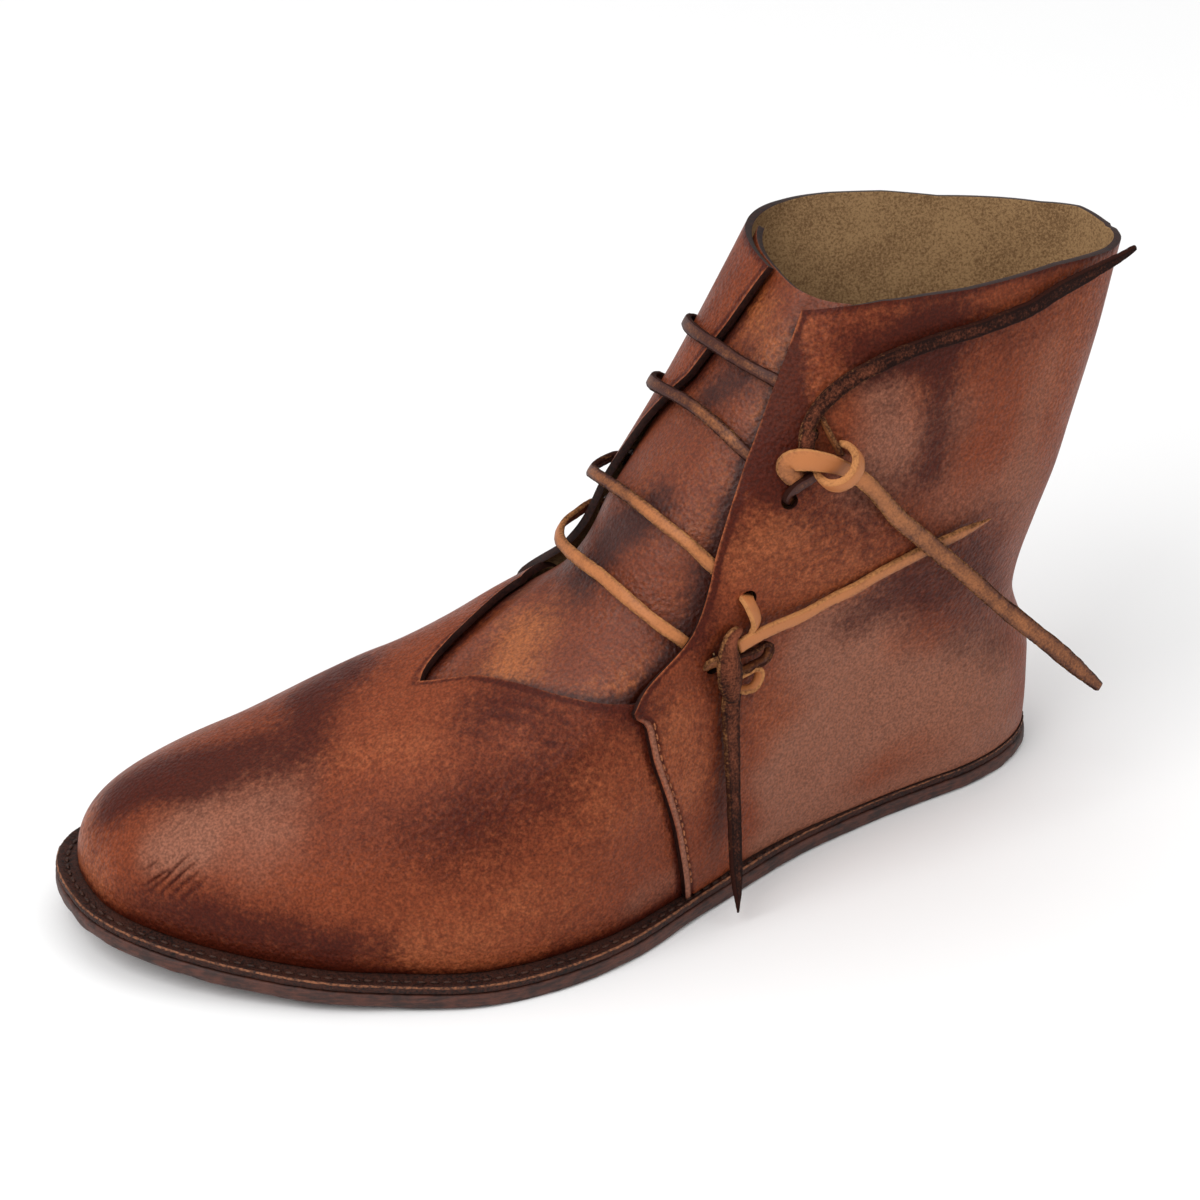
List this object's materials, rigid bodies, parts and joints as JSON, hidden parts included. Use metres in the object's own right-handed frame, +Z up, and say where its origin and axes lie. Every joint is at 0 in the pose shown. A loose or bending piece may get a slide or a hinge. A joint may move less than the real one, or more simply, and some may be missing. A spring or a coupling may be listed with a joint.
{
  "type": "medieval ankle boot",
  "caption": "Left ankle boot of mottled brown leather: wide tongue, lapped quarters, welted flat sole and two knotted thongs across the front.",
  "frame": {"origin": "on the floor, under the middle of the boot's box without its free thongs and knots", "axes": "+X from the heel to the toe, +Y to the wearer's left, +Z up"},
  "size_m": [0.2958, 0.117, 0.1608],
  "materials": {
    "sole_leather": "smooth cut edge, satin",
    "welt_leather": "dark, rough",
    "flesh_leather": "suede, matt",
    "upper_leather": "waxed, mottled reddish brown, satin",
    "tongue_leather": "waxed, mottled brown, satin",
    "thong_leather": "tan, satin, rough dark flesh side"
  },
  "bodies": {
    "root": {"outsole": "sole_leather", "welt": "welt_leather", "insole": "flesh_leather", "upper": "upper_leather", "tongue": "tongue_leather", "lace_bar_1": "thong_leather", "lace_bar_2": "thong_leather", "lace_bar_3": "thong_leather", "lace_bar_4": "thong_leather", "lace_end_1": "thong_leather", "lace_end_2": "thong_leather", "lace_end_3": "thong_leather", "lace_end_4": "thong_leather", "knot_upper": "thong_leather", "knot_lower": "thong_leather"}
  },
  "joints": []
}
